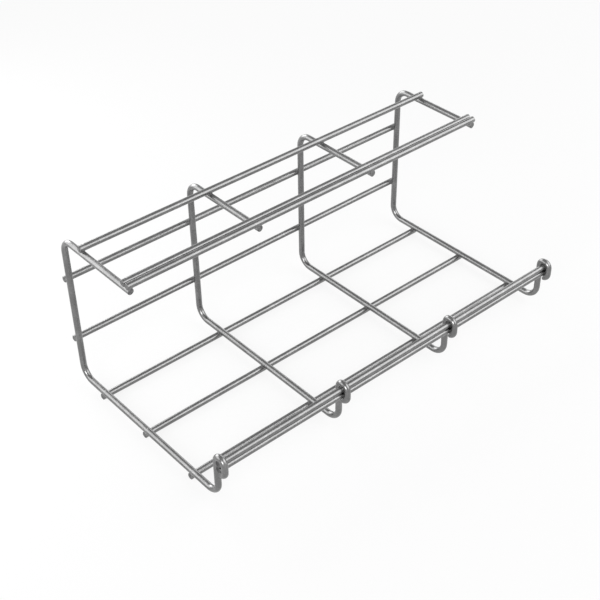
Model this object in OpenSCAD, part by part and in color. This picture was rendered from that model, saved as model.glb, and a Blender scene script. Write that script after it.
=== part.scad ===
// Wire mesh cable basket: a short tray of welded steel wire, open at the front and both ends.
// Millimetres. X runs along the basket, -Y is the open front, Z is up from the floor it stands on.
// The origin is under the middle of the basket, on the floor.

/* [Wire] */
// Diameter of every wire
wire_diameter = 4.5; // [3:0.1:6]
// How deep two crossing wires are pressed into each other by the weld
weld_sink = 0.5; // [0.1:0.1:1]
// Size of the broken edge round each cut end
cut_chamfer = 0.3; // [0.1:0.1:1]

/* [Basket] */
// Distance between neighbouring bent wires
cross_pitch = 100; // [50:5:150]
// Height from the floor centre line to the shelf centre line
basket_height = 114.7; // [90:0.1:200]
// Distance from the back wall centre line to the front upstand centre line
basket_depth = 151.4; // [140:0.1:300]
// Distance from the back wall centre line to the cut tips of the shelf
shelf_reach = 76; // [60:0.1:100]
// Bend radius of the three square corners, on the wire's centre line
bend_radius = 10; // [6:0.5:20]

/* [Long wires] */
// Distance between neighbouring long wires
long_pitch = 50; // [30:0.5:50]
// First floor wire, from the back wall centre line
floor_wire_set = 23.6; // [16:0.1:45]
// Lower wall wire, above the floor centre line
wall_wire_rise = 30.8; // [16:0.1:50]
// Rear shelf wire, from the back wall centre line
shelf_wire_set = 22.6; // [16:0.1:45]
// How far the shelf's cut tips run past the centre of the outer wire of the pair they carry
shelf_tip = 1.4; // [0.5:0.1:10]
// Middle of the pair along the front edge, above the floor centre line
edge_pair_rise = 28.4; // [26:0.1:60]
// Clear gap between the two wires of a pair
pair_gap = 0.1; // [0.1:0.1:2]
// How far the long wires run past the centre line of the end bent wires
wire_overrun = 2; // [1:0.1:25]

/* [Edge hook] */
// Straight part of the hook below the lower edge wire, before it curls in
hook_slack = 0.7; // [0:0.1:4]
// Angle the hook's end curls in under the edge wires
hook_curl = 80; // [20:1:90]

/* [Hidden] */
$fn = 96;
wire_radius = wire_diameter / 2;
// Centre distance of two wires that cross and are welded
weld_offset = wire_diameter - weld_sink;
// Centre of each wire of a pair, from the middle of the pair
pair_half = (wire_diameter + pair_gap) / 2;
basket_length = 3 * cross_pitch;
// The extent of everything, measured from the corner where back wall and floor centre lines meet
back_face = weld_offset + wire_radius;
front_face = -basket_depth - 2 * weld_offset - wire_radius;
underside = -weld_offset - wire_radius;
// Centres of the hook's two bends
hook_top = edge_pair_rise + pair_half;
hook_bottom = edge_pair_rise - pair_half - hook_slack;

// Centre of each long wire as [y, z], from the corner of the back wall and floor centre lines
floor_back = [-floor_wire_set, -weld_offset];
floor_middle = [-floor_wire_set - long_pitch, -weld_offset];
floor_front = [-floor_wire_set - 2 * long_pitch, -weld_offset];
wall_lower = [weld_offset, wall_wire_rise];
wall_upper = [weld_offset, wall_wire_rise + long_pitch];
shelf_back = [-shelf_wire_set, basket_height + weld_offset];
shelf_outer = [shelf_tip - shelf_reach, basket_height + weld_offset];
shelf_inner = shelf_outer + [2 * pair_half, 0];
edge_upper = [-basket_depth - weld_offset, edge_pair_rise + pair_half];
edge_lower = [-basket_depth - weld_offset, edge_pair_rise - pair_half];
LONG_WIRES = [
    floor_back, floor_middle, floor_front, wall_lower, wall_upper,
    shelf_back, shelf_inner, shelf_outer, edge_upper, edge_lower,
];

// Puts the corner of the back wall and floor centre lines where it belongs over the floor
module stand() {
    translate([0, -(back_face + front_face) / 2, -underside]) children();
}

// A straight long wire with both cut ends chamfered
module long_wire(place) {
    length = basket_length + 2 * wire_overrun;
    stand() translate([-length / 2, place[0], place[1]]) rotate([0, 90, 0])
        rotate_extrude() polygon([
            [0, 0], [wire_radius - cut_chamfer, 0], [wire_radius, cut_chamfer],
            [wire_radius, length - cut_chamfer], [wire_radius - cut_chamfer, length], [0, length],
        ]);
}

// A straight stretch of bent wire, drawn in the flat plane of the bends
module stretch(start, heading, length) {
    translate(start) rotate([0, 0, heading]) rotate([0, 90, 0])
        cylinder(h = length, r = wire_radius);
}

// A bend about a centre, drawn in the same flat plane
module bend(centre, radius, from, sweep) {
    translate(centre) rotate([0, 0, from]) rotate_extrude(angle = sweep)
        translate([radius, 0]) circle(r = wire_radius);
}

// What the chamfer takes off the edge of a cut end that faces the heading
module broken_edge(end, heading) {
    c = cut_chamfer;
    translate(end) rotate([0, 0, heading]) rotate([0, 90, 0]) rotate_extrude()
        polygon([[wire_radius - 2 * c, c], [wire_radius + c, -2 * c], [wire_radius + c, c]]);
}

// One wire bent round shelf, back wall, floor and front edge, ending in the hook
module bent_wire() {
    r = bend_radius;
    hook_middle = -basket_depth - weld_offset;
    rotate([90, 0, 90]) difference() {
        union() {
            stretch([-shelf_reach, basket_height], 0, shelf_reach - r);
            bend([-r, basket_height - r], r, 0, 90);
            stretch([0, r], 90, basket_height - 2 * r);
            bend([-r, r], r, 270, 90);
            stretch([r - basket_depth, 0], 0, basket_depth - 2 * r);
            bend([r - basket_depth, r], r, 180, 90);
            stretch([-basket_depth, r], 90, hook_top - r);
            bend([hook_middle, hook_top], weld_offset, 0, 180);
            stretch([hook_middle - weld_offset, hook_bottom], 90, hook_top - hook_bottom);
            bend([hook_middle, hook_bottom], weld_offset, 180, hook_curl);
        }
        broken_edge([-shelf_reach, basket_height], 180);
        translate([hook_middle, hook_bottom]) rotate([0, 0, 180 + hook_curl])
            broken_edge([weld_offset, 0], 90);
    }
}

// A bent wire, seated against the long wires it is welded to
module cross_wire(number) {
    color("silver") difference() {
        stand() translate([(number - 2.5) * cross_pitch, 0, 0]) bent_wire();
        for (place = LONG_WIRES) long_wire(place);
    }
}

module cross_wire_1() { cross_wire(1); }
module cross_wire_2() { cross_wire(2); }
module cross_wire_3() { cross_wire(3); }
module cross_wire_4() { cross_wire(4); }
module floor_wire_back() { color("silver") long_wire(floor_back); }
module floor_wire_middle() { color("silver") long_wire(floor_middle); }
module floor_wire_front() { color("silver") long_wire(floor_front); }
module wall_wire_lower() { color("silver") long_wire(wall_lower); }
module wall_wire_upper() { color("silver") long_wire(wall_upper); }
module shelf_wire_back() { color("silver") long_wire(shelf_back); }
module shelf_wire_inner() { color("silver") long_wire(shelf_inner); }
module shelf_wire_outer() { color("silver") long_wire(shelf_outer); }
module edge_wire_upper() { color("silver") long_wire(edge_upper); }
module edge_wire_lower() { color("silver") long_wire(edge_lower); }

cross_wire_1();
cross_wire_2();
cross_wire_3();
cross_wire_4();
floor_wire_back();
floor_wire_middle();
floor_wire_front();
wall_wire_lower();
wall_wire_upper();
shelf_wire_back();
shelf_wire_inner();
shelf_wire_outer();
edge_wire_upper();
edge_wire_lower();
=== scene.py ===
# %% [markdown]
# # A wire mesh cable basket
#
# The real object is a short length of welded steel wire tray. Four wires are bent into an
# open C: shelf, back wall, floor, a low front edge and a hook. Ten straight wires run the
# whole length. Eight of them are spot welded to the outside of the bent ones, and two lie
# in the hooks. Everything is bright zinc.
#
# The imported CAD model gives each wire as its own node, in its true place. A thin round
# wire shows every facet along its outline, and the CAD joints have no weld metal, so each
# node is replaced here by a finer wire that is worked out from the same numbers.

import math

import bpy
import numpy as np
from mathutils import Matrix, Vector


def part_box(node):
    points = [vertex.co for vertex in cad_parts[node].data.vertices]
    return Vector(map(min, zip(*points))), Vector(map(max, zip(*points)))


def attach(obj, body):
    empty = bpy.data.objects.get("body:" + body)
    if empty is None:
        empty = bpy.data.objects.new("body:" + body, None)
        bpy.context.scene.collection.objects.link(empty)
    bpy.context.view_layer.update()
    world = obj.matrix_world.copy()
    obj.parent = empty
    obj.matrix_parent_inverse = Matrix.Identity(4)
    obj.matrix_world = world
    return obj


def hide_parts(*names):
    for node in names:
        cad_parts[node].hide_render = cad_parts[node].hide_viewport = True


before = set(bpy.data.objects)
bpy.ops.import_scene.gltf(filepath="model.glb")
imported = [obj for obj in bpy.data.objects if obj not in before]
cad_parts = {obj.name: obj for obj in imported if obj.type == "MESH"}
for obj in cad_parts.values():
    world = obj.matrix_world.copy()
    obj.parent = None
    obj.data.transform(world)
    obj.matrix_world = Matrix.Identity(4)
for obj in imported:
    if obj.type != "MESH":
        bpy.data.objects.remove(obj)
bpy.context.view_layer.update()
print("nodes:", sorted(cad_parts))

# %% [markdown]
# ## The camera
#
# A perspective is fixed by where the eye is, not only by the angle it looks from. The eye
# here is 0.81 m from the middle of the basket, in front and to the left of it and well
# above it, so that the near end looks a fifth larger than the far one. The camera is
# turned by three vectors: it looks along `ahead`, and `level` is the horizontal line to
# its right. A small roll about the line of sight is added last, because a hand-held or
# hand-levelled camera is never quite upright.

# %% Camera
EYE = Vector((-0.43325, -0.48539, 0.53920))
AZIMUTH, ELEVATION, ROLL = (math.radians(a) for a in (40.479, 37.562, -0.913))
LENS, SENSOR = 69.888, 36              # millimetres

ahead = Vector((math.sin(AZIMUTH) * math.cos(ELEVATION),
                math.cos(AZIMUTH) * math.cos(ELEVATION), -math.sin(ELEVATION)))
level = ahead.cross(Vector((0, 0, 1))).normalized()
upright = level.cross(ahead)
right = level * math.cos(ROLL) + upright * math.sin(ROLL)
up = right.cross(ahead)

camera = bpy.data.objects.new("camera", bpy.data.cameras.new("camera"))
bpy.context.scene.collection.objects.link(camera)
camera.data.lens, camera.data.sensor_width = LENS, SENSOR
camera.matrix_world = Matrix((
    (right.x, up.x, -ahead.x, EYE.x),
    (right.y, up.y, -ahead.y, EYE.y),
    (right.z, up.z, -ahead.z, EYE.z),
    (0, 0, 0, 1)))
bpy.context.scene.camera = camera
print("camera looks down by", round(math.degrees(ELEVATION), 1), "degrees,",
      round(1000 * EYE.length), "mm from the origin")

# %% [markdown]
# ## Shader maths as plain expressions
#
# A material is a graph of nodes, and a long formula becomes a tangle of Math nodes. The
# small class below wraps one output socket, so that `a * 0.5 + b` adds the Math nodes by
# itself. Colours are mixed with Mix nodes, because a Math node would turn them grey.

# %% Sockets that can be added and multiplied
class Value:
    """One number socket of a node tree. An expression on it adds Math nodes."""

    def __init__(self, tree, socket):
        self.tree, self.socket = tree, socket

    def math(self, operation, *others):
        """Adds one Math node that takes this value first and the others after it."""
        node = self.tree.nodes.new("ShaderNodeMath")
        node.operation = operation
        for entry, value in zip(node.inputs, (self, *others)):
            if isinstance(value, Value):
                self.tree.links.new(value.socket, entry)
            else:
                entry.default_value = value
        return Value(self.tree, node.outputs[0])

    def __add__(self, other): return self.math("ADD", other)
    def __mul__(self, other): return self.math("MULTIPLY", other)
    def __sub__(self, other): return self.math("SUBTRACT", other)
    def __rsub__(self, other): return (self * -1.0) + other
    def clamp(self): return self.math("MINIMUM", 1.0).math("MAXIMUM", 0.0)
    __radd__, __rmul__ = __add__, __mul__


class Graph:
    """A node tree, with one method that adds any node and one that mixes two colours."""

    def __init__(self, tree):
        self.tree = tree
        tree.nodes.clear()

    def add(self, kind, settings=None, inputs=None, output=0):
        """Adds a node: first its settings, then the values or links of its sockets. What
        comes back is the output that was asked for, by its number or its name."""
        node = self.tree.nodes.new("ShaderNode" + kind)
        for key, value in (settings or {}).items():
            setattr(node, key, value)
        for key, value in (inputs or {}).items():
            if isinstance(value, Value):
                self.tree.links.new(value.socket, node.inputs[key])
            else:
                node.inputs[key].default_value = value
        return Value(self.tree, node.outputs[output]) if len(node.outputs) else node

    def blend(self, amount, first, second):
        """A colour that goes from first to second as amount goes from 0 to 1. A Mix node
        has its colours in sockets 6 and 7 and gives a colour from its third output."""
        return self.add("Mix", {"data_type": "RGBA"},
                        {"Factor": amount, 6: first, 7: second}, output=2)


def new_material(name):
    """A material and the empty graph to fill."""
    material = bpy.data.materials.new(name)
    material.use_nodes = True
    return material, Graph(material.node_tree)


def grey(level):
    """A neutral colour."""
    return (level, level, level, 1.0)

# %% [markdown]
# ## Bright zinc
#
# The steel is drawn into wire, welded, and then coated with zinc. The coat is a metal with
# a soft shine: a blurred highlight, faint cloudy patches where the coat is thicker, a fine
# grain, and long hair lines that the drawing die left in the steel. In the corner by a
# weld the coat is duller, and its colour is paler as painted light that lifts the corner's
# shade. A cut end shows a coarse face of light and dark grey grains. The ends of the edge
# wires in a hook's pocket are darkened by painted shade.
#
# Hair lines have to follow the bends, and no pattern in space can do that. So every wire
# carries the place that each of its points had while the wire was still straight, and the
# lines are a noise on that place, stretched along the wire. Three more numbers say how
# near a point is to a weld and to a cut, and how deep it is in the pocket of a hook, where
# painted shade darkens it. Clouds and grain simply lie in Object coordinates.
#
# The zinc could also be one grey metal with a blurred shine, which looks like plastic from
# near by. The patches, lines and grain change the colour by about a tenth and the shine a
# little, and that is what makes a coat look like a coat.

# %% Zinc coated wire
ZINC, ZINC_THICK = grey(0.180), grey(0.260)
# By a weld the colour is paler as painted light; in a hook's pocket it is dark as painted
# shade.
WELD_CORNER_LIGHT, POCKET_SHADE = grey(0.290), grey(0.055)
CUT_DARK, CUT_PALE = grey(0.105), grey(0.225)
CLOUD_SIZE, GRAIN_SIZE = 0.0105, 0.0013
LINE_LENGTH, LINE_WIDTH = 0.030, 0.00050
CLOUD_START, CUT_GRAIN_START = 0.42, 0.38          # noise levels where each begins to show
SHINE_BLUR = 0.27                      # roughness of the clean coat
BUMP, BUMP_DEPTH = 0.12, 0.00012


def zinc_wire():
    """Colour = zinc, paler where clouds, grain and hair lines add up to a thick coat, paler by
    the welds as painted light on their shaded corners, grains of two greys on a cut, and
    darker in a hook's pocket as painted shade. Roughness and height are sums of the same
    patterns."""
    material, g = new_material("bright zinc on drawn wire")
    place = g.add("TexCoord", output="Object")
    straight = g.add("Attribute", {"attribute_name": "straight"}, output="Vector")
    weld, cut, pocket_shade = (g.add("Attribute", {"attribute_name": name}, output="Fac")
                         for name in ("weld", "cut", "pocket_shade"))

    cloud = g.add("TexNoise", inputs={
        "Vector": place, "Scale": 1 / CLOUD_SIZE, "Detail": 3.0, "Roughness": 0.6})
    grain = g.add("TexNoise", inputs={
        "Vector": place, "Scale": 1 / GRAIN_SIZE, "Detail": 2.0, "Roughness": 0.7})
    stretched = g.add("VectorMath", {"operation": "MULTIPLY"}, {
        0: straight, 1: (1 / LINE_LENGTH, 1 / LINE_WIDTH, 1 / LINE_WIDTH)})
    line = g.add("TexNoise", inputs={
        "Vector": stretched, "Scale": 1.0, "Detail": 3.0, "Roughness": 0.7})

    thick = ((cloud - CLOUD_START) * 2.0 + (line - 0.5) * 1.3 + (grain - 0.5) * 1.8).clamp()
    # Painted light: by a weld the colour turns paler, lifting the shade of its corner; the same
    # mask also dulls the coat there.
    corner_light_and_dulling = (weld * weld * (cloud * 0.8 + 0.6)).clamp()
    colour = g.blend(thick, ZINC, ZINC_THICK)
    colour = g.blend(corner_light_and_dulling, colour, WELD_CORNER_LIGHT)
    sheared = g.blend(((grain - CUT_GRAIN_START) * 4.0).clamp(), CUT_DARK, CUT_PALE)
    colour = g.blend(cut * 0.9, colour, sheared)
    # Painted shade: the wire ends in a hook's pocket are darkened.
    colour = g.blend(pocket_shade, colour, POCKET_SHADE)

    rough = ((cloud - 0.5) * 0.12 + (line - 0.5) * 0.10 + corner_light_and_dulling * 0.26 + cut * 0.20
             + SHINE_BLUR)
    height = line * 0.16 + grain * 0.12 + cloud * 0.6 + cut * grain * 2.5
    relief = g.add("Bump", inputs={"Strength": BUMP, "Distance": BUMP_DEPTH, "Height": height})
    shader = g.add("BsdfPrincipled", inputs={
        "Base Color": colour, "Roughness": rough, "Metallic": 1.0, "Normal": relief})
    g.add("OutputMaterial", inputs={"Surface": shader})
    return material


zinc = zinc_wire()
print("material:", zinc.name, "with", len(zinc.node_tree.nodes), "nodes")

# %% [markdown]
# ## Sizes read from the frame
#
# Where the centre lines run is read from the boxes of the CAD nodes. A bent wire's box is
# one wire thick along X, so half its width is the wire's radius. The back wall is one
# radius in from the box's rear, the floor one radius up from its underside, and so on.
# Only the bends, how far the shelf reaches and how the hook ends are typed in, because a
# box doesn't show them.

# %% Wire sizes and places, in metres
BENT = ["cross_wire_1", "cross_wire_2", "cross_wire_3", "cross_wire_4"]
LONG = ["floor_wire_back", "floor_wire_middle", "floor_wire_front",
        "wall_wire_lower", "wall_wire_upper", "shelf_wire_back",
        "shelf_wire_inner", "shelf_wire_outer", "edge_wire_upper", "edge_wire_lower"]
WELDED = 8                 # so many of the long wires are welded; the last two are hooked
BEND_RADIUS, SHELF_REACH = 0.010, 0.076
HOOK_SLACK = 0.0007        # how far past the lower edge wire's centre the hook stays straight
HOOK_CURL = math.radians(80)           # how far its end then turns in under that wire

low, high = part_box(BENT[0])
radius = (high.x - low.x) / 2
wall_y, floor_z, shelf_z = high.y - radius, low.z + radius, high.z - radius
leg_y = low.y + radius
bent_x = np.array([(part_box(n)[0].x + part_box(n)[1].x) / 2 for n in BENT])
ends_x = (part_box(LONG[0])[0].x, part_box(LONG[0])[1].x)
long_yz = np.array([[(a + b) / 2 for a, b in zip(*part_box(n))][1:] for n in LONG])
edge_y, hook_top, low_edge_z = long_yz[8, 0], long_yz[8, 1], long_yz[9, 1]
reach = edge_y - leg_y                 # between the centres of two wires that touch
front_y = edge_y + reach
hook_bottom = low_edge_z - HOOK_SLACK
print("wire radius", round(1000 * radius, 3), "mm; centres of two welded wires",
      round(1000 * reach, 2), "mm apart")
print("floor to shelf", round(1000 * (shelf_z - floor_z), 1), "mm; wall to front",
      round(1000 * (wall_y - front_y), 1), "mm")

# %% [markdown]
# ## The centre line of a bent wire
#
# The line lies in one upright plane. It is a chain of straight runs and arcs, and each arc
# starts in the direction in which the run before it ends, so the chain can be written like
# a turtle walk: go forward so far, turn left about a centre so far. The turtle drops points
# closer together in the arcs, where a long facet would show.

# %% Walk a line
STEP, TURN = 0.0005, math.radians(3.0)             # between two points of the line


def walk(start, heading, moves):
    """Points and headings of a chain of moves. A move is (length,) for a straight run or
    (radius, angle) for an arc to the left: centre = point + radius * left of heading."""
    points, headings = [np.array([start])], [np.array([heading])]
    at, facing = np.array(start, float), heading
    for move in moves:
        if len(move) == 1:
            count = max(2, math.ceil(move[0] / STEP))
            t = np.linspace(0, 1, count + 1)[1:, None]
            direction = np.array([math.cos(facing), math.sin(facing)])
            points.append(at + t * move[0] * direction)
            headings.append(np.full(count, facing))
        else:
            bend, angle = move
            count = max(4, math.ceil(abs(angle) / TURN))
            sweep = facing + np.linspace(0, 1, count + 1)[1:] * angle
            side = math.copysign(1, angle)
            centre = at + bend * side * np.array([-math.sin(facing), math.cos(facing)])
            spoke = np.stack([np.sin(sweep), -np.cos(sweep)], 1)
            points.append(centre + bend * side * spoke)
            headings.append(sweep)
            facing += angle
        at = points[-1][-1]
    return np.concatenate(points), np.concatenate(headings)


quarter = math.pi / 2
line, heading = walk(
    (wall_y - SHELF_REACH, shelf_z), 0.0,
    [(SHELF_REACH - BEND_RADIUS,), (BEND_RADIUS, -quarter),
     (shelf_z - floor_z - 2 * BEND_RADIUS,), (BEND_RADIUS, -quarter),
     (wall_y - front_y - 2 * BEND_RADIUS,), (BEND_RADIUS, -quarter),
     (hook_top - floor_z - BEND_RADIUS,), (reach, 2 * quarter),
     (hook_top - hook_bottom,), (reach, HOOK_CURL)])
walked = np.concatenate([[0], np.cumsum(np.linalg.norm(np.diff(line, axis=0), axis=1))])
print("bent wire:", len(line), "stations,", round(1000 * walked[-1]), "mm of wire")

# %% [markdown]
# ## Where a wire ends
#
# The wires are cut in a shear. One part of the face is cut smooth, and where the blade has
# gone half through, the rest tears off a little deeper. The rim is slightly rolled over.
# The shelf and hook ends of the bent wires and both ends of every long wire look like this.
#
# The rings that close an end are put in front of the first station and behind the last one.

# %% Closing rings of the cut ends
RIM = 0.0003               # how far the rim is rolled over
TEAR = 0.00014             # how much deeper the torn part of a face lies
FACE_RINGS, RIM_RINGS = 7, 6


def end_rings():
    """From the middle of a face outwards: how far a ring lies in from the end, and its size
    as a share of the wire's. The rim is a quarter circle: in = RIM * (1 - cos t), and
    size = 1 - RIM / radius * (1 - sin t)."""
    t = np.linspace(0, quarter, RIM_RINGS)
    rim = np.stack([RIM * (1 - np.cos(t)), 1 - RIM / radius * (1 - np.sin(t))], 1)
    face = np.stack([np.zeros(FACE_RINGS), rim[0, 1] * np.arange(FACE_RINGS) / FACE_RINGS], 1)
    return np.concatenate([face, rim])


def close_ends(first, last, inner):
    """Stations from first to last, as rows of: place along the wire, size of the ring, how
    much it is cut face, and which way is inwards there (1, 0 or -1). A ring is all cut face
    at the end, and less by how far it lies in, until none is left past the rim."""
    inset, size = end_rings().T
    inner = inner[(inner > first + 2 * RIM) & (inner < last - 2 * RIM)]
    face = np.clip(1.15 - inset / RIM, 0, 1)
    none = np.zeros(len(inner))
    return np.stack([
        np.concatenate([first + inset, inner, last - inset[::-1]]),
        np.concatenate([size, none + 1, size[::-1]]),
        np.concatenate([face, none, face[::-1]]),
        np.concatenate([size * 0 + 1, none, size * 0 - 1])])


def torn(u, v):
    """How deep a sheared face lies at (u, v), which run from -1 to 1 across it: a soft step
    from the smooth part to the torn part, times TEAR, plus a ripple of a tenth of TEAR."""
    ramp = np.clip((v + 0.25 * u + 0.15) / 0.5, 0, 1)
    ramp = ramp * ramp * (3 - 2 * ramp)
    ripple = np.sin(9 * u + 4 * v) * np.sin(7 * v - 3 * u)
    return TEAR * (ramp * (0.85 + 0.15 * np.sin(14 * u)) + 0.1 + 0.1 * ripple)

# %% [markdown]
# ## Weld metal
#
# Two wires that cross are squeezed together by electrodes while a current melts the metal
# between them. They sink into each other by half a millimetre, and a little of the melt is
# pressed out into the corner round the contact. On each wire that is a swelling: it is
# highest where the other wire touches, and gone a millimetre away from it. Because both
# wires swell, they meet in a smooth hollow, as the real flash does. A separate ring of weld
# metal would show an edge where it ends, and a swelling of the wire itself has none.
#
# The electrodes press on the far sides of the two wires and leave a small flat on each.

# %% Swelling and flats at a weld
FLASH = 0.0011             # how far from the other wire the swelling begins
WELD_REACH = 0.0045            # how far from the other wire a weld's painted light and duller coat reach
FLAT_DEPTH = 0.00011
FLAT_HALF, FLAT_RAMP = 0.0023, 0.0007


def swelling(gap):
    """Outward move where another surface is gap away: a quarter of FLASH times the square
    of (1 - gap / FLASH), which is nothing from FLASH on."""
    return FLASH / 4 * np.clip(1 - gap / FLASH, 0, 1) ** 2


def uneven(along, across, seed):
    """A factor near 1 that differs from weld to weld and along its rim: 0.95 plus 0.15 times
    three sines, which are 3 to 15 mm long."""
    wave = (np.sin(along * 1900 + seed * 1.7) + np.sin(along * 760 + across * 1300 + seed * 4.1)
            + np.sin(across * 2100 - along * 430 + seed * 2.9))
    return 0.95 + 0.15 * wave


def flat_depth(offset):
    """Depth of an electrode's flat at a distance along the wire: full, then a ramp to none."""
    return FLAT_DEPTH * np.clip((FLAT_HALF - offset) / FLAT_RAMP, 0, 1)

# %% [markdown]
# ## The surface of any wire
#
# A wire is a ring of points carried along a centre line. At each station the ring stands
# square to the line, on two axes: `left` and `side`. Swellings and flats only change how
# far a point is from the line, so one function can make every wire of the basket.
#
# A curve object with a round bevel would be quicker to make. But it can't swell at a weld
# or be flat on one side, and it doesn't know where a point was on the straight wire.
#
# The points form a grid, one way along the wire and the other way round it, and each cell
# of the grid is a four-sided face. At both ends the grid shrinks to one point, which
# closes the wire. The material's numbers go in as attributes of the points. Each wire adds
# its number to its straight place, so that no two wires have the same hair lines.

# %% Carry a ring along a line
SIDES = 40
GRAZING = 0.2              # a point whose cos(a - away) is less is beside the flat
angle = np.linspace(0, 2 * math.pi, SIDES, endpoint=False)
cos_a, sin_a = np.cos(angle), np.sin(angle)


def wire_grid(stations, centre, left, side, onward, grow, flat, away, oval=1.0):
    """Point (s, a) = centre + span * (cos a * oval * left + sin a * side) + tear * onward.
    span = size * (radius + grow), but no more than (radius - flat) / cos(a - away)."""
    at, size, cut, inward = stations[:, :, None]
    towards_away = np.cos(angle - away[:, None])
    span = size * (radius + grow)
    span = np.minimum(span, (radius - flat[:, None]) / np.maximum(towards_away, GRAZING))
    tear = inward * cut * torn(size * cos_a, size * sin_a)
    grid = (centre[:, None] + (span * cos_a * oval)[:, :, None] * left[:, None]
            + (span * sin_a)[:, :, None] * side[:, None] + tear[:, :, None] * onward[:, None])
    straight = np.stack([at + 0 * span, span * cos_a, span * sin_a], 2)
    return grid, straight


def wire_piece(name, stand_for, grid, straight, weld, cut, pocket_shade):
    """A mesh from a grid of points and what it carries: face (i, j) joins ring i to ring
    i + 1 and side j to side j + 1, wrapping round."""
    rings = grid.shape[0]
    # The first and last ring are one point each, so their corners share a vertex.
    index = np.arange(rings * SIDES).reshape(rings, SIDES)
    index[0], index[-1] = index[0, 0], index[-1, 0]
    after = np.roll(index, -1, axis=1)
    quads = np.stack([index[:-1], after[:-1], after[1:], index[1:]], 2).reshape(-1, 4)
    used, quads = np.unique(quads, return_inverse=True)
    quads = quads.reshape(-1, 4)
    faces = [*quads[:SIDES, [0, 2, 3]].tolist(), *quads[SIDES:-SIDES].tolist(),
             *quads[-SIDES:, [0, 1, 2]].tolist()]
    mesh = bpy.data.meshes.new(name)
    mesh.from_pydata(grid.reshape(-1, 3)[used], [], faces)
    mesh.polygons.foreach_set("use_smooth", np.ones(len(mesh.polygons), bool))
    place = mesh.attributes.new("straight", "FLOAT_VECTOR", "POINT")
    place.data.foreach_set("vector", straight.reshape(-1, 3)[used].astype(np.float32).ravel())
    for key, values in (("weld", weld), ("cut", cut), ("pocket_shade", pocket_shade)):
        layer = mesh.attributes.new(key, "FLOAT", "POINT")
        values = np.broadcast_to(values, grid.shape[:2]).ravel()[used]
        layer.data.foreach_set("value", values.astype(np.float32))
    mesh.materials.append(zinc)
    mesh.update()
    piece = bpy.data.objects.new(name, mesh)
    bpy.context.scene.collection.objects.link(piece)
    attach(piece, "root")
    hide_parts(stand_for)
    return piece

# %% [markdown]
# ## The four bent wires
#
# In a tight bend the outer side is stretched and the inner side is upset, so the section
# there is a little flat: the ring's height in the plane of the bend shrinks by 3%. A long
# wire is a straight tube along X, so how near it is to a point of a bent wire can be worked
# out in the upright plane alone.

# %% Bent wires
BEND_FLATTENING = 0.03
BESIDE = 1.1               # times reach: a long wire this far to the side still touches
FAR = 1.0                  # metres: stands for a long wire that lies nowhere near


def planar(values):
    """Vectors (y, z) as (0, y, z)."""
    return np.concatenate([np.zeros((len(values), 1)), values], 1)


def bent_wire(number, x):
    """The ring is carried along the walked line, with its side axis along X."""
    stations = close_ends(0, walked[-1], walked)
    at, size, cut, _ = stations
    points = np.stack([np.interp(at, walked, line[:, k]) for k in (0, 1)], 1)
    facing = np.interp(at, walked, heading)
    onward = np.stack([np.cos(facing), np.sin(facing)], 1)
    left = np.stack([-onward[:, 1], onward[:, 0]], 1)
    turning = np.abs(np.interp(at, walked, np.gradient(heading, walked)))
    tight = np.clip(turning * BEND_RADIUS, 0, 1)

    leftward = radius * size[:, None] * cos_a
    skin = points[:, None] + leftward[:, :, None] * left[:, None]
    gaps = np.linalg.norm(skin[:, :, None] - long_yz, axis=3) - radius
    gap, nearest = gaps.min(axis=2), gaps.argmin(axis=2)
    across = radius * size[:, None] * sin_a
    grow = swelling(gap) * uneven(at[:, None], across, number + nearest)

    # Electrode flats, on the side away from each long wire, where the bent wire is straight.
    offset = long_yz - points[:, None]
    forward = np.abs((offset * onward[:, None]).sum(2))
    sideways = (offset * left[:, None]).sum(2)
    forward = np.where(np.abs(sideways) < BESIDE * reach, forward, FAR)
    flat = flat_depth(forward.min(axis=1)) * (1 - tight)
    met = np.take_along_axis(sideways, forward.argmin(axis=1)[:, None], 1)[:, 0]
    away = np.where(met > 0, math.pi, 0.0)

    side = np.tile([1.0, 0, 0], (len(at), 1))
    grid, straight = wire_grid(
        stations, planar(points) + [x, 0, 0], planar(left), side, planar(onward),
        grow, flat, away, oval=1 - BEND_FLATTENING * tight[:, None])
    weld = np.clip(1 - gaps[:, :, :WELDED].min(axis=2) / WELD_REACH, 0, 1)
    return wire_piece(f"bent_wire_{number}", BENT[number - 1],
                      grid, straight + [number, 0, 0], weld, cut[:, None], 0)


bent_pieces = [bent_wire(k + 1, x) for k, x in enumerate(bent_x)]
print("bent wires:", [len(p.data.vertices) for p in bent_pieces], "vertices")

# %% [markdown]
# ## The ten long wires
#
# A long wire is straight, so its ring never turns. Its stations are close together only
# near a bent wire, where the swelling needs them. How far a point is from a bent wire is
# the distance to the bend's centre line in the upright plane, joined by Pythagoras to the
# distance along X. The two edge wires are held in the hooks from both sides, so no
# electrode leaves a flat on them.

# %% Long wires
NEAR_WELD, WELD_STATIONS = 0.006, 49   # how far each way the stations are close together
SPARSE_STEP = 0.002                    # between two stations elsewhere
TOUCHING = 0.0003                      # a bent wire within this of its place touches
ONE_SIDED = 0.9                        # length of the mean direction to a wire on one side


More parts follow.
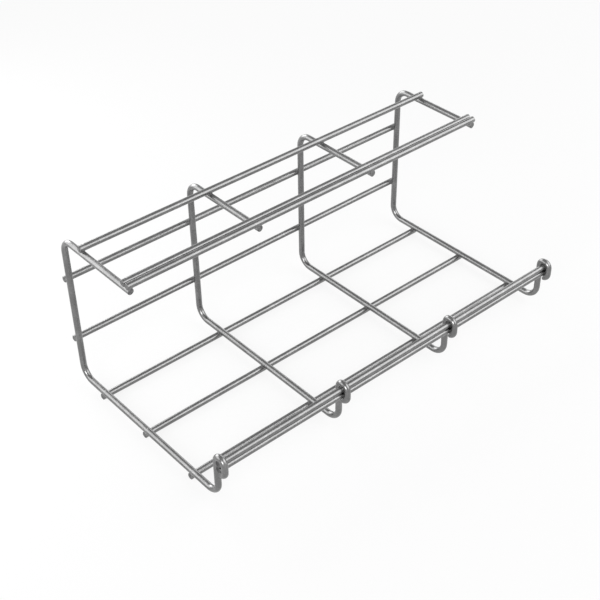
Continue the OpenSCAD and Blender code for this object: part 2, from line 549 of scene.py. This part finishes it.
def long_wire(number, name):
    """The ring is carried along X, with its left axis along Y and its side axis along Z."""
    near = [x + np.linspace(-NEAR_WELD, NEAR_WELD, WELD_STATIONS) for x in bent_x]
    spread = np.arange(ends_x[0], ends_x[1], SPARSE_STEP)
    inner = np.unique(np.round(np.concatenate([spread, *near]), 6))
    stations = close_ends(*ends_x, inner)
    at, size, cut, _ = stations
    axis = long_yz[number]
    rim = axis + radius * np.stack([cos_a, sin_a], 1)
    beside = np.linalg.norm(rim[:, None] - line, axis=2).min(axis=1)
    from_bent = at[:, None] - bent_x
    weld_number = np.abs(from_bent).argmin(axis=1)
    along = np.take_along_axis(from_bent, weld_number[:, None], 1)
    gap = np.hypot(beside, along) - radius
    grow = swelling(gap) * uneven(along, radius * cos_a, number * 3 + weld_number[:, None])

    # The flat faces away from the bent wire. A hooked wire is touched all round, so the
    # mean direction to the touching line is short, and it gets no flat.
    to_line = line - axis
    distance = np.linalg.norm(to_line, axis=1)
    touching = (to_line / distance[:, None])[distance < reach + TOUCHING].mean(axis=0)
    one_sided = np.linalg.norm(touching) > ONE_SIDED
    flat = flat_depth(np.abs(along[:, 0])) * one_sided
    away = np.full(len(at), math.atan2(-touching[1], -touching[0]))

    centre = np.stack([at, 0 * at + axis[0], 0 * at + axis[1]], 1)
    axes = [np.tile(v, (len(at), 1)) for v in ([0, 1.0, 0], [0, 0, 1.0], [1.0, 0, 0])]
    grid, straight = wire_grid(stations, centre, *axes, grow, flat, away)
    weld = np.clip(1 - gap / WELD_REACH, 0, 1) * (number < WELDED)
    # A hooked wire's end lies in the hook's pocket. It is darkened there by painted shade, most
    # on the upstand's side.
    deep = np.clip(0.75 + 0.5 * size[:, None] * cos_a, 0, 1)
    pocket_shade = cut[:, None] * deep * (number >= WELDED)
    return wire_piece(name.replace("_wire", "_rod"), name,
                      grid, straight + [10 + number, 0, 0], weld, cut[:, None], pocket_shade)


long_pieces = [long_wire(k, name) for k, name in enumerate(LONG)]
print("long wires:", len(long_pieces), "with", len(long_pieces[0].data.vertices),
      "vertices each")

# %% [markdown]
# ## The floor and the light
#
# A shiny wire is a mirror bent into a tube: it shows a thin picture of everything round it.
# What it looks like is therefore mostly the room. Two soft lamps stand near the basket,
# one at the front right and a flat one at the rear left. Seen from the wires each is large,
# and makes one bright stripe along the wires that run across its line of sight. Because
# they are near, the stripe shifts from one end of the basket to the other.
#
# Three more lamps stand farther off. The ones straight behind and at the rear right fill
# the stripes on the far side of the wires, and the one on the left is seen in the bends and
# on the tops of the hooks, where it makes a bright point.
#
# The floor and the room are nearly white. A ray that comes from the camera or off the metal
# sees them whiter than the light that they give, so that a white floor needs no extra light
# on the basket. Near the basket the floor still shows its soft shadow, and farther out it
# turns into the white of the horizon, as a sheet of paper does that is swept up behind the
# object. The room is a little greyer overhead.

# %% Floor and room
FLOOR_HALF = 3.0
FLOOR_COLOUR, FLOOR_WHITE = grey(0.72), 0.85
SHADOW_REACH, SWEEP = 0.35, 1.2        # how far out the floor starts to whiten, and over what
ROOM_LIGHT, HORIZON_SEEN, CEILING_SEEN = 0.24, 0.98, 0.69
CEILING_HEIGHT = math.sin(math.radians(40))


def seen_directly(graph):
    """1 for a ray from the camera, off a mirror or through glass, else 0."""
    camera_ray, glossy_ray, clear_ray = (
        graph.add("LightPath", output=name)
        for name in ("Is Camera Ray", "Is Glossy Ray", "Is Transmission Ray"))
    return (camera_ray + glossy_ray + clear_ray).clamp()


def white_floor():
    """A flat square, 6 m wide, from four corners, under the basket. Seen whiteness = near +
    (horizon - near) * (distance - shadow reach) / sweep, held between the two."""
    mesh = bpy.data.meshes.new("floor")
    corners = [(-1, -1, 0), (1, -1, 0), (1, 1, 0), (-1, 1, 0)]
    mesh.from_pydata(FLOOR_HALF * np.array(corners), [], [(0, 1, 2, 3)])
    floor = bpy.data.objects.new("floor", mesh)
    bpy.context.scene.collection.objects.link(floor)
    material, g = new_material("matt white floor")
    matt = g.add("BsdfDiffuse", inputs={"Color": FLOOR_COLOUR})
    white = g.add("Emission", inputs={"Color": grey(1.0), "Strength": 1.0})
    place = g.add("TexCoord", output="Object")
    distance = g.add("VectorMath", {"operation": "LENGTH"}, {0: place}, output="Value")
    out = ((distance - SHADOW_REACH) * (1 / SWEEP)).clamp()
    whiteness = out * (HORIZON_SEEN - FLOOR_WHITE) + FLOOR_WHITE
    shader = g.add("MixShader", inputs={0: seen_directly(g) * whiteness, 1: matt, 2: white})
    g.add("OutputMaterial", inputs={"Surface": shader})
    mesh.materials.append(material)


def pale_room():
    """Seen strength = horizon + (ceiling - horizon) * height / ceiling height, where the
    last fraction is held between 0 and 1. Any other ray gets ROOM_LIGHT."""
    room = bpy.data.worlds.new("room")
    bpy.context.scene.world = room
    room.use_nodes = True
    g = Graph(room.node_tree)
    direction = g.add("TexCoord", output="Generated")
    height = g.add("SeparateXYZ", inputs={0: direction}, output="Z")
    rise = (height * (1 / CEILING_HEIGHT)).clamp()
    seen = rise * (CEILING_SEEN - HORIZON_SEEN) + HORIZON_SEEN
    strength = seen_directly(g) * (seen - ROOM_LIGHT) + ROOM_LIGHT
    backdrop = g.add("Background", inputs={"Color": grey(1.0), "Strength": strength})
    g.add("OutputWorld", inputs={"Surface": backdrop})


white_floor()
pale_room()
bpy.context.scene.view_settings.view_transform = "Standard"
print("room gives", ROOM_LIGHT, "and is seen as", HORIZON_SEEN, "to", CEILING_SEEN)

# %% Lamps
AIM = Vector((0, 0, 0.06))             # the middle of the basket


def soft_lamp(name, azimuth, elevation, distance, width, height, brightness):
    """A rectangle of light that faces the basket from a compass direction, in degrees: 0 is
    straight behind it and 90 is on its right. Place = aim + distance * (sin az cos el,
    cos az cos el, sin el), and power = brightness * pi * area."""
    lamp = bpy.data.lights.new(name, "AREA")
    lamp.shape, lamp.size, lamp.size_y = "RECTANGLE", width, height
    lamp.energy = brightness * math.pi * width * height
    body = bpy.data.objects.new(name, lamp)
    bpy.context.scene.collection.objects.link(body)
    turn, rise = math.radians(azimuth), math.radians(elevation)
    toward = Vector((math.sin(turn) * math.cos(rise), math.cos(turn) * math.cos(rise),
                     math.sin(rise)))
    body.location = toward * distance + AIM
    body.rotation_mode = "QUATERNION"
    body.rotation_quaternion = toward.to_track_quat("Z", "Y")
    body.visible_camera = False


# Azimuth and elevation in degrees; distance, width and height in metres; brightness.
soft_lamp("front right lamp", 137, 35.5, 0.97, 1.04, 0.81, 2.95)
soft_lamp("rear left lamp", -40.5, 23, 0.46, 0.77, 0.34, 2.4)
soft_lamp("rear lamp", 5, 19, 4.0, 2.2, 2.1, 5.0)
soft_lamp("left lamp", -124, 24, 2.7, 1.38, 1.30, 8.3)
soft_lamp("rear right lamp", 60, 9, 4.0, 2.3, 2.1, 2.1)
print("lamps:", [lamp.name for lamp in bpy.data.lights])
